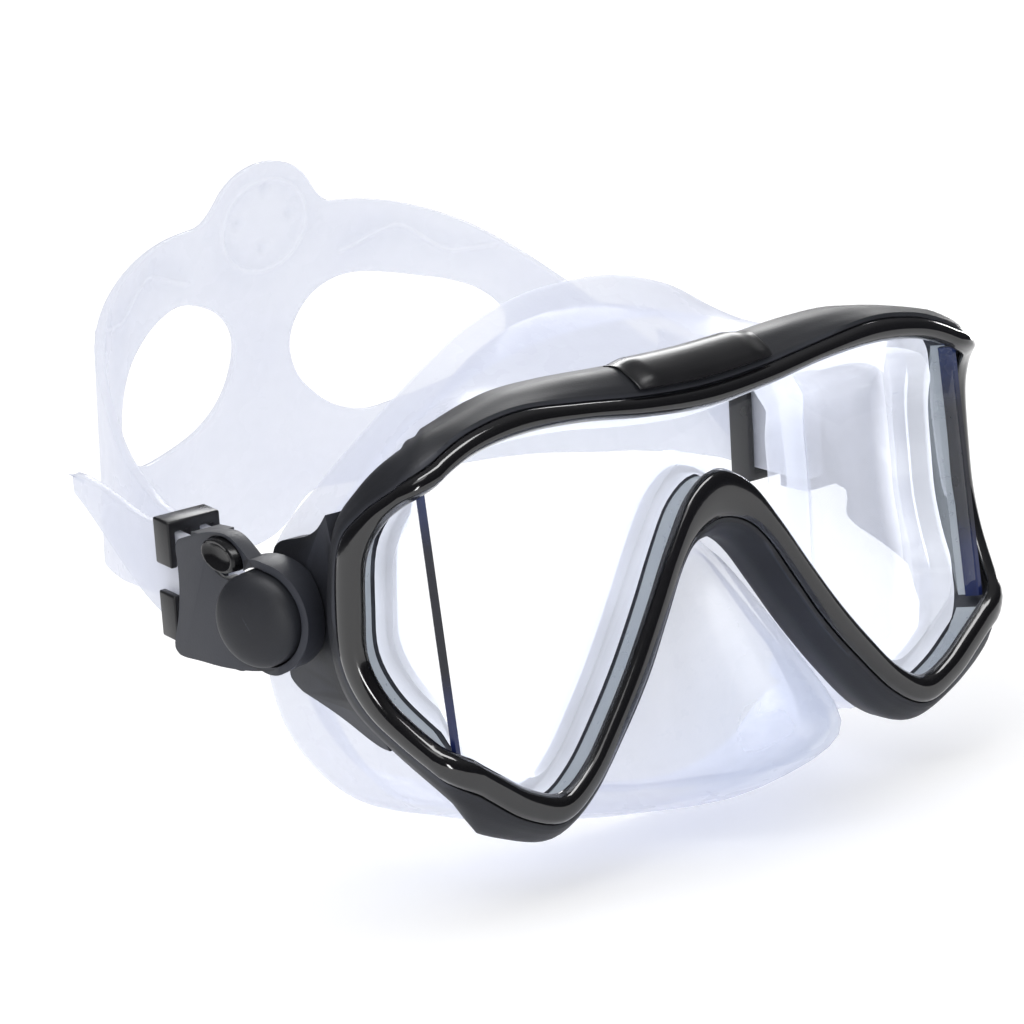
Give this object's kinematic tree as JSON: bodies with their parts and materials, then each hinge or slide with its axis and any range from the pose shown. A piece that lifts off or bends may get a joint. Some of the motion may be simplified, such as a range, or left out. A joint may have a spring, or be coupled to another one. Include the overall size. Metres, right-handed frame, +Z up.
{
  "type": "diving mask",
  "caption": "Panoramic diving mask: glass front and side windows in a rigid frame, soft silicone face skirt, swivelling quick-adjust buckles and a head strap.",
  "frame": {"origin": "centre of the front window's outer face, on the mask's mid plane", "axes": "-Y the way the front window faces, +Y to the back of the head strap, +Z up, +X to the wearer's left"},
  "size_m": [0.1682, 0.1921, 0.1254],
  "materials": {
    "gloss_frame": "high gloss black",
    "satin_frame": "fine satin texture",
    "lens": "clear tempered glass",
    "adhesive": "black bonding strip",
    "silicone": "clear soft silicone",
    "steel": "bright wire"
  },
  "bodies": {
    "mask": {"front_bezel": "gloss_frame", "rear_frame": "satin_frame", "bridge_clip": "satin_frame", "front_lens": "lens", "side_lens_left": "lens", "side_lens_right": "lens", "lens_joint_left": "adhesive", "lens_joint_right": "adhesive", "skirt": "silicone", "pivot_pin_left": "satin_frame", "pivot_pin_right": "satin_frame"},
    "head_strap": {"strap": "silicone"},
    "buckle_left": {"buckle_body_left": "satin_frame", "pivot_cap_left": "satin_frame", "button_spring_left": "steel"},
    "button_upper_left": {"release_button_upper_left": "satin_frame"},
    "button_lower_left": {"release_button_lower_left": "satin_frame"},
    "roller_left": {"strap_roller_left": "satin_frame"},
    "keeper_left": {"strap_keeper_left": "satin_frame"},
    "buckle_right": {"buckle_body_right": "satin_frame", "pivot_cap_right": "satin_frame", "button_spring_right": "steel"},
    "button_upper_right": {"release_button_upper_right": "satin_frame"},
    "button_lower_right": {"release_button_lower_right": "satin_frame"},
    "roller_right": {"strap_roller_right": "satin_frame"},
    "keeper_right": {"strap_keeper_right": "satin_frame"}
  },
  "joints": [
    {"name": "strap_swing", "type": "hinge", "parent": "mask", "child": "head_strap", "pos_m": [0, 0.0368, -0.0196], "axis": [1, 0, 0], "range_deg": [-30, 45]},
    {"name": "buckle_left_swivel", "type": "hinge", "parent": "mask", "child": "buckle_left", "pos_m": [0.0727, 0.0368, -0.0196], "axis": [1, 0, 0], "range_deg": [-30, 45]},
    {"name": "button_upper_left_press", "type": "slide", "parent": "buckle_left", "child": "button_upper_left", "axis": [0, 0.1219, -0.9925], "range_m": [0, 0.0012]},
    {"name": "button_lower_left_press", "type": "slide", "parent": "buckle_left", "child": "button_lower_left", "axis": [0, -0.1219, 0.9925], "range_m": [0, 0.0012]},
    {"name": "roller_left_spin", "type": "hinge", "parent": "buckle_left", "child": "roller_left", "pos_m": [0.0707, 0.05913, -0.01686], "axis": [0, -0.1219, 0.9925], "continuous": true},
    {"name": "keeper_left_slide", "type": "slide", "parent": "head_strap", "child": "keeper_left", "axis": [-0.04, 0.9918, 0.1218], "range_m": [-0.001, 0.005]},
    {"name": "buckle_right_swivel", "type": "hinge", "parent": "mask", "child": "buckle_right", "pos_m": [-0.0727, 0.0368, -0.0196], "axis": [1, 0, 0], "range_deg": [-30, 45]},
    {"name": "button_upper_right_press", "type": "slide", "parent": "buckle_right", "child": "button_upper_right", "axis": [0, 0.1219, -0.9925], "range_m": [0, 0.0012]},
    {"name": "button_lower_right_press", "type": "slide", "parent": "buckle_right", "child": "button_lower_right", "axis": [0, -0.1219, 0.9925], "range_m": [0, 0.0012]},
    {"name": "roller_right_spin", "type": "hinge", "parent": "buckle_right", "child": "roller_right", "pos_m": [-0.0707, 0.05913, -0.01686], "axis": [0, -0.1219, 0.9925], "continuous": true},
    {"name": "keeper_right_slide", "type": "slide", "parent": "head_strap", "child": "keeper_right", "axis": [0.04, 0.9918, 0.1218], "range_m": [-0.001, 0.005]}
  ],
  "couplings": [
    {"joint": "buckle_left_swivel", "follows": "strap_swing", "ratio": 1},
    {"joint": "buckle_right_swivel", "follows": "strap_swing", "ratio": 1}
  ]
}
